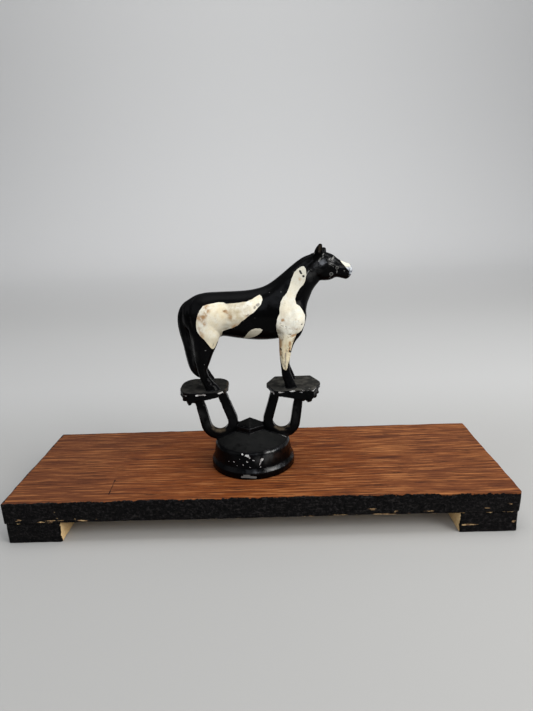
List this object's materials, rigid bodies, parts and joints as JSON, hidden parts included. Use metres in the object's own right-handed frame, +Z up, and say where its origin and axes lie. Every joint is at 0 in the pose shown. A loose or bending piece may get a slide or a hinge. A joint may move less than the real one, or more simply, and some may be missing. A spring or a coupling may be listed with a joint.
{
  "type": "horse figurine on base",
  "caption": "Painted cast horse standing across horseshoe supports on a round base, set on a stained wooden board with batten feet.",
  "frame": {"origin": "middle of the stand's footprint, on the underside of the battens", "axes": "+Z up, +X along the board toward the horse's head, +Y away from the side that shows the cream patches"},
  "size_m": [0.2508, 0.0818, 0.1376],
  "materials": {
    "horse_figurine": "gloss black enamel with cream patches, chipped, over cast white metal",
    "board": "red-brown stain on the faces, black paint on the sawn edges",
    "left_batten": "black paint on the ends and outer side, bare pale wood inside",
    "right_batten": "black paint on the ends and outer side, bare pale wood inside"
  },
  "bodies": {
    "root": {"horse_figurine": "horse_figurine", "board": "board", "left_batten": "left_batten", "right_batten": "right_batten"}
  },
  "joints": []
}
